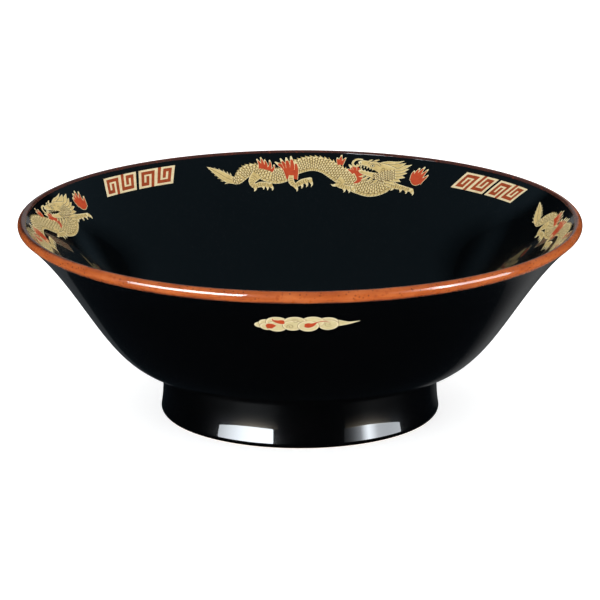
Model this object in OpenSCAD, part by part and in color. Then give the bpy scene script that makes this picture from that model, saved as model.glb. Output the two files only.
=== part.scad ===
// High-footed noodle bowl: black glaze, orange lip band and fired-on prints.
// Millimetres. +Z is up along the axis, the table is z = 0 and +Y is the back.

/* [Bowl] */
// Diameter over the lip
rim_d = 210; // [198:1:222]
// Height from the table to the top of the lip
bowl_h = 74.3; // [72:0.1:78]
// Thickness of the rounded lip, glaze included
lip_t = 3.4; // [2.6:0.1:3.8]
// Thickness of the wall where it turns into the base, glaze included
base_t = 5.2; // [4.6:0.1:6]
// Slope of the wall under the lip, in degrees from level
lip_slope = 41.6; // [38:0.2:45]
// How far the lip's slope carries down the wall
lip_pull = 30.7; // [26:0.1:34]
// How far the level underside carries out from the foot
belly_pull = 19.8; // [16:0.1:23]
// Height of the inside floor above the table
floor_h = 18.8; // [18.4:0.1:20]

/* [Foot] */
// Diameter of the foot's neck, just under the wall
neck_d = 102.8; // [100:0.2:103.4]
// Diameter of the foot at its widest, just above the table
foot_d = 104.4; // [104:0.2:107]
// Flare of the foot at its lower edge, in degrees from upright
foot_flare = 10; // [6:1:14]
// Height of the wall's underside at the neck
foot_h = 18.4; // [17.4:0.1:19.4]
// Thickness of the foot ring at its lower edge
foot_t = 6; // [5.4:0.1:7]
// Radius of both lower edges of the foot
foot_edge = 1.8; // [1.2:0.1:2]
// Radius of the crease between the neck and the wall
crease_r = 1.8; // [1:0.1:2.4]
// Depth of the hollow inside the foot
recess_h = 12.6; // [11:0.1:13]

/* [Glaze] */
// Thickness of the glaze
glaze_t = 0.35; // [0.25:0.05:0.45]
// How far the orange band reaches down the outside, past the round of the lip
band_out = 2.5; // [1.5:0.1:4]
// How far the orange band reaches down the inside, past the round of the lip
band_in = 0.3; // [0.2:0.1:1.5]

/* [Prints] */
// Thickness of one fired-on colour
print_t = 0.14; // [0.1:0.02:0.2]
// Turn of the set of dragons from the back, clockwise from above
dragon_turn = 4.5; // [0:0.5:10]
// Turn of the fret pairs from the dragons
fret_turn = 45; // [43:1:47]
// Turn of the outside clouds from the front, anticlockwise from above
cloud_turn = 0; // [0:1:10]
// Width of one fret panel
panel_w = 16; // [14:0.2:18]
// Height of one fret panel along the wall
panel_h = 7.8; // [7:0.2:10]
// How far the lower edge of a panel is set off to the left of its upper edge
panel_slant = 3.8; // [0:0.2:5]
// Gap between the two panels of a pair
panel_gap = 1.3; // [0.6:0.1:2]
// Distance from the band down to the fret panels
panel_down = 2.2; // [1:0.1:6]
// Width of the fret's line
fret_line = 1.25; // [1:0.05:1.5]

/* [Hidden] */
WALL_STEPS = 26;
FLOOR_STEPS = 9;
FOOT_STEPS = 6;
ARC_STEPS = 6;
CURVE_STEPS = 3;
ROUND = 96;
// Dragons, fret pairs and clouds round the bowl
COUNT = 4;
// How far round each lower edge of the foot the glaze reaches, in degrees
GLAZED_TO = 60;
// Where along the wall's curve the inside turns into the floor
FLOOR_FROM = 0.3;
// How far the hollow in the foot narrows towards its top
RECESS_TAPER = 1.5;
// How much of the wall can carry a print
PRINTED_SHARE = 0.62;
lip_r = lip_t / 2;
rim_r = rim_d / 2;
neck_r = neck_d / 2;
foot_r = foot_d / 2;
inner_foot_r = foot_r - foot_t;
joint_z = recess_h + glaze_t;
lip_mid = [rim_r - lip_r, bowl_h - lip_r];
band_out_at = 1 - band_out / (3 * lip_pull);
band_in_at = 1 - band_in / (3 * lip_pull);

// ---- Curves. A run is a list of [point, direction into the clay] along a face.

function unit(v) = v / norm(v);
function left_of(v) = [-v[1], v[0]];
function ray(a) = [cos(a), sin(a)];
function reversed(v) = [for (i = [len(v) - 1:-1:0]) v[i]];
function rest(v) = [for (i = [1:1:len(v) - 1]) v[i]];
function steps(a, b, n) = [for (i = [0:n]) a + (b - a) * i / n];

function bezier(p, t) =
    (1 - t)^3 * p[0] + 3 * (1 - t)^2 * t * p[1] + 3 * (1 - t) * t^2 * p[2] + t^3 * p[3];
function bezier_way(p, t) =
    unit((1 - t)^2 * (p[1] - p[0]) + 2 * (1 - t) * t * (p[2] - p[1]) + t^2 * (p[3] - p[2]));

// The outer face of the wall, from the crease over the foot up to the lip.
wall = let (
    low = [neck_r + crease_r, foot_h],
    high = lip_mid + lip_r * ray(lip_slope - 90)
) [low, low + [belly_pull, 0], high - lip_pull * ray(lip_slope), high];

function wall_t(t) = lip_t + (base_t - lip_t) * (1 - t)^2;
function outer(t) = [bezier(wall, t), left_of(bezier_way(wall, t))];
function inner(t) = let (o = outer(t)) [o[0] + wall_t(t) * o[1], -o[1]];

// The inside floor, from the foot of the inner wall to the axis.
basin = let (
    start = inner(FLOOR_FROM)[0],
    way = bezier_way(wall, FLOOR_FROM)
) [start, start - 10 * way, [30, floor_h], [0, floor_h]];

crease_mid = [neck_r + crease_r, foot_h - crease_r];
edge_mid = [foot_r - foot_edge, foot_edge];
inner_edge_mid = [inner_foot_r + foot_edge, foot_edge];

// The outer face of the foot: upright under the crease and flared towards the table.
foot_side = let (
    top = [neck_r, foot_h - crease_r],
    end = edge_mid + foot_edge * ray(foot_flare)
) [top, top - [0, 5], end + 5 * left_of(ray(foot_flare)), end];

band_run = concat(
    [for (t = steps(band_out_at, 1, 2)) outer(t)],
    [for (a = rest(steps(lip_slope - 90, lip_slope + 90, 2 * ARC_STEPS)))
        [lip_mid + lip_r * ray(a), -ray(a)]],
    [inner(band_in_at)]
);
inside_run = concat(
    [for (t = steps(band_in_at, FLOOR_FROM, WALL_STEPS)) inner(t)],
    [for (t = rest(steps(0, 1, FLOOR_STEPS))) [bezier(basin, t), left_of(bezier_way(basin, t))]]
);
outside_run = concat(
    [for (t = steps(band_out_at, 0, WALL_STEPS)) outer(t)],
    [for (a = rest(steps(90, 180, ARC_STEPS))) [crease_mid + crease_r * ray(a), ray(a)]],
    [for (t = rest(steps(0, 1, FOOT_STEPS)))
        [bezier(foot_side, t), -left_of(bezier_way(foot_side, t))]],
    [for (a = rest(steps(foot_flare, -GLAZED_TO, ARC_STEPS))) [edge_mid + foot_edge * ray(a), -ray(a)]]
);
recess_run = concat(
    [[[0, recess_h], [0, 1]], [[inner_foot_r - RECESS_TAPER, recess_h], [1, 1]]],
    [for (a = steps(180, 180 + GLAZED_TO, ARC_STEPS)) [inner_edge_mid + foot_edge * ray(a), -ray(a)]]
);

function sunk(run, depth) = [for (p = run) p[0] + depth * p[1]];
function skin(run, top, bottom) = concat(sunk(run, top), reversed(sunk(run, bottom)));

// ---- Clay

clay_outside = sunk(outside_run, glaze_t);
clay_foot = [for (p = clay_outside) if (p[1] < foot_h - crease_r) p];
joint_r = lookup(joint_z, [for (p = reversed(clay_foot)) [p[1], p[0]]]);

module bowl_body() {
    color("tan") rotate_extrude($fn = ROUND) polygon(concat(
        sunk(reversed(inside_run), glaze_t),
        rest(sunk(reversed(band_run), glaze_t)),
        rest([for (p = clay_outside) if (p[1] > joint_z) p]),
        [[joint_r, joint_z], [0, joint_z]]
    ));
}

module foot_ring() {
    inside = [for (i = [1:len(recess_run) - 1]) recess_run[i]];
    color("tan") rotate_extrude($fn = ROUND) polygon(concat(
        [[joint_r, joint_z]],
        [for (p = clay_foot) if (p[1] < joint_z) p],
        [for (a = steps(-GLAZED_TO, -90, 3)) edge_mid + foot_edge * ray(a)],
        [for (a = steps(270, 180 + GLAZED_TO, 3)) inner_edge_mid + foot_edge * ray(a)],
        sunk(reversed(inside), glaze_t)
    ));
}

// ---- Glaze

module glaze_coat(run, colour) {
    color(colour) rotate_extrude($fn = ROUND) polygon(skin(run, 0, glaze_t));
}

module glaze_inside() glaze_coat(inside_run, "#10151a");
module glaze_outside() glaze_coat(outside_run, "#08090b");
module glaze_recess() glaze_coat(recess_run, "#08090b");
module rim_band() glaze_coat(band_run, "#d0622a");

// ---- Prints. A drawing is in [across, down]: across is measured round the bowl
// and down is measured along the wall from the edge of the orange band.

function point(run, i) = run[min(i, len(run) - 1)][0];
function reach(run) =
    [for (i = 0, d = 0; i < len(run); d = d + norm(point(run, i + 1) - point(run, i)), i = i + 1) d];

function laid(points, run, middle) = let (
    down = reach(run),
    radii = [for (i = [0:len(run) - 1]) [down[i], run[i][0][0]]],
    heights = [for (i = [0:len(run) - 1]) [down[i], run[i][0][1]]],
    turn = 180 / PI / lookup(middle, radii)
) [for (p = points) [lookup(p[1], radii) * sin(p[0] * turn), lookup(p[1], heights)]];

// A film of colour on the wall, cut to the shape of its children, seen level from the axis.
module film(run, layer, colour) {
    wall_run = [for (i = [0:ceil(WALL_STEPS * PRINTED_SHARE)]) run[i]];
    color(colour) intersection() {
        rotate_extrude($fn = ROUND) polygon(skin(wall_run, -layer * print_t, (1 - layer) * print_t));
        translate([0, rim_r, 0]) rotate([90, 0, 0]) linear_extrude(rim_r - 10) children();
    }
}

function knot(p, i) = p[max(0, min(len(p) - 1, i))];
function along(p, u) = let (
    i = max(0, min(floor(u), len(p) - 2)), f = u - i,
    a = knot(p, i - 1), b = knot(p, i), c = knot(p, i + 1), d = knot(p, i + 2)
) 0.5 * (2 * b + (c - a) * f + (2 * a - 5 * b + 4 * c - d) * f^2 + (3 * b - a - 3 * c + d) * f^3);

// The outline of a brush stroke through points of [across, down, half width].
function stroke(p, grow = 0) = let (
    n = (len(p) - 1) * CURVE_STEPS,
    spots = [for (k = [0:n]) along(p, k / CURVE_STEPS)],
    flat = [for (s = spots) [s[0], s[1]]],
    side = [for (k = [0:n]) left_of(unit(flat[min(k + 1, n)] - flat[max(k - 1, 0)]))],
    spine = [for (k = [0:n])
        flat[k] + (k == 0 ? grow * left_of(side[0]) : k == n ? -grow * left_of(side[n]) : [0, 0])]
) concat(
    [for (k = [0:n]) spine[k] + (spots[k][2] + grow) * side[k]],
    [for (k = [n:-1:0]) spine[k] - (spots[k][2] + grow) * side[k]]
);

// ---- Dragon

// The depth at which a dragon is drawn true to size across
DRAGON_MIDDLE = 10;
// Points of each stroke: across, down and half width
DRAGON_BODY = [
    [-34.8, 11.8, 1.3], [-32.4, 11.6, 1.8], [-29, 8.4, 2.5], [-25.4, 7.4, 2.6], [-20.8, 9.8, 3],
    [-16.8, 10.8, 3.2], [-12.6, 9.6, 3.1], [-8.8, 6.8, 3.1], [-3, 5.1, 3.2], [2, 6, 3.3],
    [6.2, 8.6, 3.4], [10.6, 11.4, 3.5], [15.8, 13.8, 3.6], [22, 15, 3.6], [27.2, 12.8, 3.5], [28, 8.6, 3.4]
];
DRAGON_TAIL = [
    [[-34.2, 11.8, 1.2], [-37.4, 9.8, 2.2], [-41, 7, 1.5], [-44.2, 4.6, 0.1]],
    [[-36, 9.6, 1], [-38, 6.8, 0.7], [-38.6, 5, 0.1]]
];
DRAGON_HEAD = [
    [[29, 8, 3], [24, 6.6, 3.6], [19, 5, 2], [15.4, 3.6, 0.9], [13.4, 4.6, 0.3]],
    [[24, 9, 2], [20, 10, 1.4], [16.8, 9.4, 0.4]],
    [[24, 4.4, 1.4], [29, 3.4, 1.2], [34.8, 2.4, 0.1]],
    [[28, 6.6, 2], [32, 5.8, 1.3], [35, 5.2, 0.1]],
    [[28, 9.4, 2], [31.6, 9.4, 1.2], [34.2, 9.8, 0.1]]
];
// Each leg from the hip to the ankle
DRAGON_LEGS = [
    [[-24.6, 10, 1.5], [-26.8, 12.2, 1.2], [-26, 14.4, 0.9], [-22.4, 14.6, 1]],
    [[-11.2, 10.8, 1.5], [-11, 13.8, 1.1], [-8.6, 15, 0.9], [-5.4, 13.4, 1]],
    [[8, 11.8, 1.5], [9.6, 13.8, 1.1], [9, 15.4, 0.8]],
    [[29, 12, 1.6], [32.4, 13.6, 1.2], [37, 13.8, 1.1]]
];
// The tongues of the flames behind each leg and over the back.
DRAGON_FLAMES = [
    [[-21.6, 7.2, 1.1], [-22.8, 5, 0.8], [-23.2, 2.8, 0.1]],
    [[-20.2, 7.2, 1.2], [-20.8, 4.6, 0.9], [-21, 2, 0.1]],
    [[-18.8, 7.6, 1], [-19.2, 5.8, 0.7], [-19.4, 3.8, 0.1]],
    [[-11.8, 10.4, 1.6], [-14, 6.4, 1], [-16.6, 3.8, 0.1]],
    [[-11, 10.6, 1.8], [-11.6, 6, 1.3], [-11.4, 2.2, 0.1]],
    [[8, 4.6, 1], [7.6, 2.8, 0.9], [7, 1, 0.1]],
    [[15, 11.8, 1], [15.4, 8.6, 1.4], [12, 5, 0.1]]
];
// A round pearl with tongues of fire
PEARL = [39.8, 9.2];
PEARL_R = 2.6;
PEARL_TONGUES = [
    [[38.4, 8.4, 1.2], [37.4, 6.4, 0.8], [37, 4.6, 0.1]],
    [[39.8, 8, 1.4], [40, 5.6, 0.9], [40.2, 3.2, 0.1]],
    [[41.2, 8.6, 1.2], [42.6, 6.8, 0.8], [43.2, 4.4, 0.1]]
];
FLAME_RIM = 0.4;
CLAW_SPREAD = 38;
CLAW_L = 3;
CLAW_W = 1.2;

function circle_points(mid, r, n = 20) = [for (i = [0:n - 1]) mid + r * ray(360 * i / n)];

// Three claws fanned out from the last point of a leg.
function claws(leg) = let (
    flat = [for (p = leg) [p[0], p[1]]],
    ankle = flat[len(leg) - 1],
    way = unit(ankle - flat[len(leg) - 2]),
    heel = ankle - 0.5 * way
) [for (a = [-CLAW_SPREAD, 0, CLAW_SPREAD]) let (
    heading = ray(atan2(way[1], way[0]) + a),
    side = CLAW_W / 2 * left_of(heading)
) [heel + side, ankle + CLAW_L * heading, heel - side]];

module drawn(points) polygon(laid(points, inside_run, DRAGON_MIDDLE));

module flames(grow) {
    for (tongue = concat(DRAGON_FLAMES, PEARL_TONGUES)) drawn(stroke(tongue, grow));
    drawn(circle_points(PEARL, PEARL_R + grow));
}

module dragon_gold_shape() {
    difference() {
        union() {
            drawn(stroke(DRAGON_BODY));
            for (part = concat(DRAGON_TAIL, DRAGON_HEAD, DRAGON_LEGS)) drawn(stroke(part));
            for (leg = DRAGON_LEGS, claw = claws(leg)) drawn(claw);
            flames(FLAME_RIM);
        }
        flames(0);
    }
}

module dragon_place(i) rotate([0, 0, -dragon_turn - 90 * (i - 1)]) children();
module dragon_gold(i) dragon_place(i) film(inside_run, 1, "#dcc682") dragon_gold_shape();
module dragon_red(i) dragon_place(i) film(inside_run, 1, "#c03c22") flames(0);

// ---- Fret panels: two to a pair, each with two spirals, the second turned half round.

// Cream left bare round the spirals of a panel
PANEL_EDGE = 1.2;

function on_panel(i, p) = let (side = i % 2 == 1 ? -1 : 1) [
    side * (panel_w + panel_gap) / 2 + p[0] - panel_slant * p[1] / panel_h,
    panel_down + panel_h / 2 + p[1]
];

// The middle line of a square spiral that runs in from the panel's lower edge.
spiral = let (
    outer_x = panel_w / 2 - PANEL_EDGE - fret_line / 2,
    inner_x = fret_line,
    top = panel_h / 2 - PANEL_EDGE - fret_line / 2,
    middle_x = (outer_x + inner_x) / 2
) [
    [-inner_x, (panel_h - fret_line) / 2], [-inner_x, -top], [-outer_x, -top],
    [-outer_x, top], [-middle_x, top], [-middle_x, -top / 4]
];

module line_path(i, points) {
    for (k = [0:len(points) - 2]) let (
        way = fret_line / 2 * unit(points[k + 1] - points[k]), side = left_of(way),
        a = points[k] - way, b = points[k + 1] + way
    ) drawn([for (p = [a + side, b + side, b - side, a - side]) on_panel(i, p)]);
}

module fret_place(i)
    rotate([0, 0, -dragon_turn - fret_turn - 90 * floor((i - 1) / 2)]) children();

module fret_cream(i) {
    corners = [[-1, -1], [1, -1], [1, 1], [-1, 1]];
    fret_place(i) film(inside_run, 1, "#eddcae")
        drawn([for (c = corners) on_panel(i, [c[0] * panel_w / 2, c[1] * panel_h / 2])]);
}

module fret_red(i) {
    fret_place(i) film(inside_run, 2, "#a8482c")
        for (turn = [1, -1]) line_path(i, turn * spiral);
}

// ---- Clouds on the outside

// The depth at which a cloud is drawn true to size across
CLOUD_MIDDLE = 13;
// Each lobe of the cloud: centre across, centre down and radius.
CLOUD_LOBES = [
    [-8.1, 12.2, 3.4], [-1.8, 12.1, 3.5], [4.7, 12, 3.6], [9.8, 12.6, 3.2], [-13.6, 13.9, 2.2],
    [-12, 12.8, 2.2], [-8.6, 14.8, 3.2], [-3, 13.9, 3.1], [2.1, 14.4, 3.3], [10.4, 13.9, 3.1]
];
CLOUD_TAIL = [[9, 12.8, 3], [14.4, 13, 1.7], [17.4, 13.3, 0.8], [21.2, 12.4, 0.1]];
CLOUD_SWIRLS = [
    [[-6.2, 11.8, 0.3], [-7.6, 11.9, 0.9], [-9.2, 11.6, 0.6], [-10.6, 10.2, 0.15]],
    [[-12.8, 15.4, 0.3], [-11.4, 14.5, 0.9], [-9, 14.6, 0.4]],
    [[1.9, 13.9, 0.3], [3.4, 14, 1.1], [5.2, 13.4, 0.7], [7.4, 11.4, 0.3], [9.9, 12.4, 0.15]]
];

// Seen from outside, so across runs the other way round the bowl.
module drawn_outside(points) polygon(laid([for (p = points) [-p[0], p[1]]], outside_run, CLOUD_MIDDLE));

module cloud_place(i) rotate([0, 0, 180 + cloud_turn - 90 * (i - 1)]) children();

module cloud_cream(i) {
    cloud_place(i) film(outside_run, 1, "#f0e2aa") {
        for (lobe = CLOUD_LOBES) drawn_outside(circle_points([lobe[0], lobe[1]], lobe[2]));
        drawn_outside(stroke(CLOUD_TAIL));
    }
}

module cloud_red(i) {
    cloud_place(i) film(outside_run, 2, "#c03c22") for (swirl = CLOUD_SWIRLS) drawn_outside(stroke(swirl));
}

// ---- Nodes

bowl_body();
foot_ring();
glaze_inside();
glaze_outside();
glaze_recess();
rim_band();
for (i = [1:COUNT]) {
    dragon_gold(i);
    dragon_red(i);
    cloud_cream(i);
    cloud_red(i);
}
for (i = [1:2 * COUNT]) {
    fret_cream(i);
    fret_red(i);
}
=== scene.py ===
import math

import bpy
import numpy as np
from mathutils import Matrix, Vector
from mathutils.geometry import delaunay_2d_cdt

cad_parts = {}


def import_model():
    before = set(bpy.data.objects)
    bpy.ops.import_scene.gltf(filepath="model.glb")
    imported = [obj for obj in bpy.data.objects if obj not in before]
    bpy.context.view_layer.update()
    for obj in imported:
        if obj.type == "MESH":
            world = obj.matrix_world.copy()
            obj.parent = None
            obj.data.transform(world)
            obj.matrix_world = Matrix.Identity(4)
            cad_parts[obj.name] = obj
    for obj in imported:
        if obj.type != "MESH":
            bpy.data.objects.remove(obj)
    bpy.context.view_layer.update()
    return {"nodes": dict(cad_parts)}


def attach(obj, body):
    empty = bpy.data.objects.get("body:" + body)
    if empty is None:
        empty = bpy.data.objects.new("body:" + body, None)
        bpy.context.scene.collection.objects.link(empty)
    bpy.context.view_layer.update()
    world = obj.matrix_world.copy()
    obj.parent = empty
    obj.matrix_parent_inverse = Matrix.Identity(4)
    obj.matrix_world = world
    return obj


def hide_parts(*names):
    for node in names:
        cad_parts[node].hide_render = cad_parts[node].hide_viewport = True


# Looks of the high-footed noodle bowl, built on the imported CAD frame. Outlines and drawings are in
# millimetres, and all else is in metres. +Z is up, the table is z = 0 and +Y is the back.

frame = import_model()

MM = 0.001
SEGMENTS = 360

# ---- Outline of the bowl, as in the CAD

RIM_R = 105.0
BOWL_H = 74.3
LIP_T = 3.4
BASE_T = 5.2
LIP_SLOPE = math.radians(41.6)
LIP_PULL = 30.7
BELLY_PULL = 19.8
FLOOR_H = 18.8
FLOOR_FROM = 0.3
FLOOR_R = 30.0
FLOOR_PULL = 10.0
NECK_R = 51.4
FOOT_R = 52.2
FOOT_FLARE = math.radians(10)
FOOT_H = 18.4
FOOT_T = 6.0
FOOT_EDGE = 1.8
FOOT_PULL = 5.0
CREASE_R = 1.8
RECESS_H = 12.6
RECESS_TAPER = 1.5
RECESS_CORNER = 2.5
GLAZE_T = 0.35
GLAZED_TO = math.radians(60)
BAND_OUT = 2.5
BAND_IN = 0.3

LIP_R = LIP_T / 2
LIP_MID = np.array([RIM_R - LIP_R, BOWL_H - LIP_R])


def ray(angle):
    return np.array([math.cos(angle), math.sin(angle)])


def left_of(v):
    return np.array([-v[1], v[0]])


def unit(v):
    return v / np.hypot(*v)


def bezier(p, t):
    return (1 - t) ** 3 * p[0] + 3 * (1 - t) ** 2 * t * p[1] + 3 * (1 - t) * t * t * p[2] + t**3 * p[3]


def bezier_way(p, t):
    return unit((1 - t) ** 2 * (p[1] - p[0]) + 2 * (1 - t) * t * (p[2] - p[1]) + t * t * (p[3] - p[2]))


LOW = np.array([NECK_R + CREASE_R, FOOT_H])
HIGH = LIP_MID + LIP_R * ray(LIP_SLOPE - math.pi / 2)
WALL = [LOW, LOW + [BELLY_PULL, 0], HIGH - LIP_PULL * ray(LIP_SLOPE), HIGH]


def outer(t):
    """A point of the wall's outer face and the way into the clay there."""
    return bezier(WALL, t), left_of(bezier_way(WALL, t))


def inner(t):
    """The same on the inner face."""
    point, into = outer(t)
    return point + (LIP_T + (BASE_T - LIP_T) * (1 - t) ** 2) * into, -into


def wall_at(reach):
    """Where a distance down from the round of the lip lies on the wall's curve."""
    return 1 - reach / (3 * LIP_PULL)


def basin_run(steps):
    """The inside from the foot of the wall to the middle of the floor."""
    start, way = inner(FLOOR_FROM)[0], bezier_way(WALL, FLOOR_FROM)
    basin = [start, start - FLOOR_PULL * way, np.array([FLOOR_R, FLOOR_H]), np.array([0, FLOOR_H])]
    return [(bezier(basin, t), left_of(bezier_way(basin, t))) for t in np.linspace(0, 1, steps + 1)[1:]]


def arc_run(mid, radius, start, end, steps, inwards):
    """Points round an arc, with the way into the clay towards its middle or away from it."""
    rays = [ray(a) for a in np.linspace(start, end, steps + 1)]
    return [(mid + radius * r, -r if inwards else r) for r in rays]


def inside_run(reach):
    """The whole inside, from a distance down from the lip."""
    return [inner(t) for t in np.linspace(wall_at(reach), FLOOR_FROM, 80)] + basin_run(40)


def outside_run(reach):
    """The outside of the wall, the crease and the foot, round to the edge of the glaze."""
    run = [outer(t) for t in np.linspace(wall_at(reach), 0, 90)]
    crease = np.array([NECK_R + CREASE_R, FOOT_H - CREASE_R])
    run += arc_run(crease, CREASE_R, math.pi / 2, math.pi, 10, False)[1:]
    edge = np.array([FOOT_R - FOOT_EDGE, FOOT_EDGE])
    top, end = crease - [CREASE_R, 0], edge + FOOT_EDGE * ray(FOOT_FLARE)
    side = [top, top - [0, FOOT_PULL], end + FOOT_PULL * left_of(ray(FOOT_FLARE)), end]
    run += [(bezier(side, t), -left_of(bezier_way(side, t))) for t in np.linspace(0, 1, 25)[1:]]
    return run + arc_run(edge, FOOT_EDGE, FOOT_FLARE, -GLAZED_TO, 14, True)[1:]


def recess_run():
    """The hollow of the foot, from its middle to the edge of the glaze."""
    inner_r = FOOT_R - FOOT_T
    corner = np.array([inner_r - RECESS_TAPER - RECESS_CORNER, RECESS_H - RECESS_CORNER])
    run = [(np.array([r, RECESS_H]), np.array([0.0, 1.0])) for r in np.linspace(0, corner[0], 12)]
    run += arc_run(corner, RECESS_CORNER, math.pi / 2, 0, 10, False)[1:]
    edge = np.array([inner_r + FOOT_EDGE, FOOT_EDGE])
    return run + arc_run(edge, FOOT_EDGE, math.pi, math.pi + GLAZED_TO, 14, True)


def reaches(run):
    """Distance along a run to each of its points."""
    points = np.array([p for p, into in run])
    return np.concatenate([[0], np.cumsum(np.hypot(*np.diff(points, axis=0).T))])


# ---- Turning outlines into solids


def new_piece(name, verts, faces, material, slot, replaced=(), sharp=math.radians(40)):
    """A closed mesh piece that rides on the bowl."""
    mesh = bpy.data.meshes.new(name)
    mesh.from_pydata([tuple(v) for v in verts], [], faces)
    mesh.validate()
    mesh.polygons.foreach_set("use_smooth", [True] * len(mesh.polygons))
    mesh.set_sharp_from_angle(angle=sharp)
    mesh.materials.append(material)
    piece = bpy.data.objects.new(name, mesh)
    bpy.context.scene.collection.objects.link(piece)
    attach(piece, "root")
    if replaced:
        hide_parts(*replaced)
    return piece


def lathe(name, outlines, *args, **kwargs):
    """Turns a closed outline round the axis. It is one outline, or one for each segment."""
    outlines = np.array(outlines, dtype=float)
    if outlines.ndim == 2:
        outlines = np.repeat(outlines[None], SEGMENTS, axis=0)
    count = outlines.shape[1]
    angles = np.arange(SEGMENTS) * 2 * math.pi / SEGMENTS
    radii, heights = outlines[:, :, 0], outlines[:, :, 1]
    rings = np.stack([radii * np.sin(angles)[:, None], radii * np.cos(angles)[:, None], heights], axis=2)
    on_axis = np.all(radii < 1e-6, axis=0)
    index = np.arange(SEGMENTS * count).reshape(SEGMENTS, count)
    index[:, on_axis] = index[0, on_axis]
    faces = []
    for i in range(SEGMENTS):
        a, b = index[i], index[(i + 1) % SEGMENTS]
        for k in range(count):
            m = (k + 1) % count
            corners = list(dict.fromkeys([int(a[k]), int(b[k]), int(b[m]), int(a[m])]))
            if len(corners) > 2:
                faces.append(corners)
    used = np.unique(index)
    new_index = np.zeros(SEGMENTS * count, dtype=int)
    new_index[used] = np.arange(len(used))
    faces = [[int(new_index[v]) for v in face] for face in faces]
    verts = rings.reshape(-1, 3)[used] * MM
    if signed_volume(verts, faces) < 0:
        faces = [face[::-1] for face in faces]
    return new_piece(name, verts, faces, *args, **kwargs)


def signed_volume(verts, faces):
    total = 0.0
    for face in faces[: len(faces) // SEGMENTS]:
        a, b, c = (verts[i] for i in face[:3])
        total += np.dot(a, np.cross(b, c))
        if len(face) == 4:
            total += np.dot(verts[face[0]], np.cross(verts[face[2]], verts[face[3]]))
    return total


def coat(run):
    """The closed outline of a glaze on a run: its face and its back."""
    return [p for p, n in run] + [p + GLAZE_T * n for p, n in reversed(run)]


# ---- Materials


class Nodes:
    """Adds nodes to a material and joins them up."""

    def __init__(self, material):
        material.use_nodes = True
        self.tree = material.node_tree
        self.tree.nodes.clear()

    def add(self, kind, inputs=(), **settings):
        node = self.tree.nodes.new("ShaderNode" + kind)
        for key, value in settings.items():
            setattr(node, key, value)
        for key, value in dict(inputs).items():
            if isinstance(value, bpy.types.NodeSocket):
                self.tree.links.new(value, node.inputs[key])
            else:
                node.inputs[key].default_value = value
        return node

    def math(self, operation, *values):
        return self.add("Math", dict(enumerate(values)), operation=operation).outputs[0]

    def noise(self, where, scale, detail=3.0, roughness=0.5):
        inputs = {"Vector": where, "Scale": scale, "Detail": detail, "Roughness": roughness}
        return self.add("TexNoise", inputs).outputs["Fac"]

    def spots(self, where, scale):
        """Distance to the nearest of some scattered points."""
        return self.add("TexVoronoi", {"Vector": where, "Scale": scale}).outputs["Distance"]

    def ramp(self, value, *stops):
        """Blends colours: each stop is a place and a colour."""
        node = self.add("ValToRGB", {"Fac": value})
        elements = node.color_ramp.elements
        while len(elements) < len(stops):
            elements.new(0.5)
        for element, (place, colour) in zip(elements, stops):
            element.position = place
            element.color = (*colour, 1)
        return node.outputs["Color"]

    def blend(self, factor, a, b):
        node = self.add("Mix", {"Factor": factor}, data_type="RGBA")
        for socket, value in ((node.inputs[6], a), (node.inputs[7], b)):
            if isinstance(value, bpy.types.NodeSocket):
                self.tree.links.new(value, socket)
            else:
                socket.default_value = (*value, 1)
        return node.outputs[2]

    def between(self, value, low, high, out_low=0.0, out_high=1.0):
        node = self.add("MapRange", {
            "Value": value, "From Min": low, "From Max": high, "To Min": out_low, "To Max": out_high,
        })
        return node.outputs[0]

    def bump(self, height, strength, distance):
        inputs = {"Height": height, "Strength": strength, "Distance": distance}
        return self.add("Bump", inputs).outputs[0]

    def surface(self, **sockets):
        shader = self.add("BsdfPrincipled", {k.replace("_", " "): v for k, v in sockets.items()})
        self.add("OutputMaterial", {"Surface": shader.outputs[0]})


def place_of(nodes):
    """Position on the bowl: its frame is the object's own."""
    return nodes.add("TexCoord").outputs["Object"]


def glaze_material(name, colour, fleck):
    """Thick gloss glaze: a slow waviness, faint colour pooling and tiny pinholes."""
    material = bpy.data.materials.new(name)
    n = Nodes(material)
    where = place_of(n)
    pooling = n.noise(where, 35.0, 2.0)
    flecks = n.between(n.spots(where, 900.0), 0.10, 0.16)
    base = n.ramp(pooling, (0.3, colour), (0.75, [c * 1.35 for c in colour]))
    wave = n.noise(where, 55.0, 1.0)
    pins = n.between(n.spots(where, 260.0), 0.0, 0.07)
    relief = n.math("ADD", n.math("MULTIPLY", wave, 0.25), n.math("MULTIPLY", pins, 0.05))
    normal = n.bump(relief, 0.5, 0.0002)
    n.surface(
        Base_Color=n.blend(flecks, fleck, base),
        Roughness=n.between(n.noise(where, 90.0), 0.3, 0.7, 0.20, 0.26),
        IOR=1.14,
        Normal=normal,
        Coat_Weight=1.0,
        Coat_Roughness=0.03,
        Coat_IOR=1.5,
        Coat_Normal=normal,
    )
    return material


BAND_ORANGE = ((0.25, (0.34, 0.066, 0.014)), (0.5, (0.46, 0.104, 0.022)), (0.8, (0.56, 0.155, 0.042)))
# Brown of thin band glaze, also used as painted shade at the band's inner edge
BAND_THIN_AND_SHADE = (0.066, 0.019, 0.012)
BAND_MOTTLE = (0.30, 0.05, 0.012)
BAND_SPECK = (0.05, 0.014, 0.008)
BAND_STREAKS = (90.0, 90.0, 420.0)
# Where the brown at the inner edge starts: partly thin glaze, partly painted shade
THIN_AND_SHADE_FROM_R = (RIM_R - 1.7) * MM
THIN_FROM_H = (BOWL_H - 5.0) * MM


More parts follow.
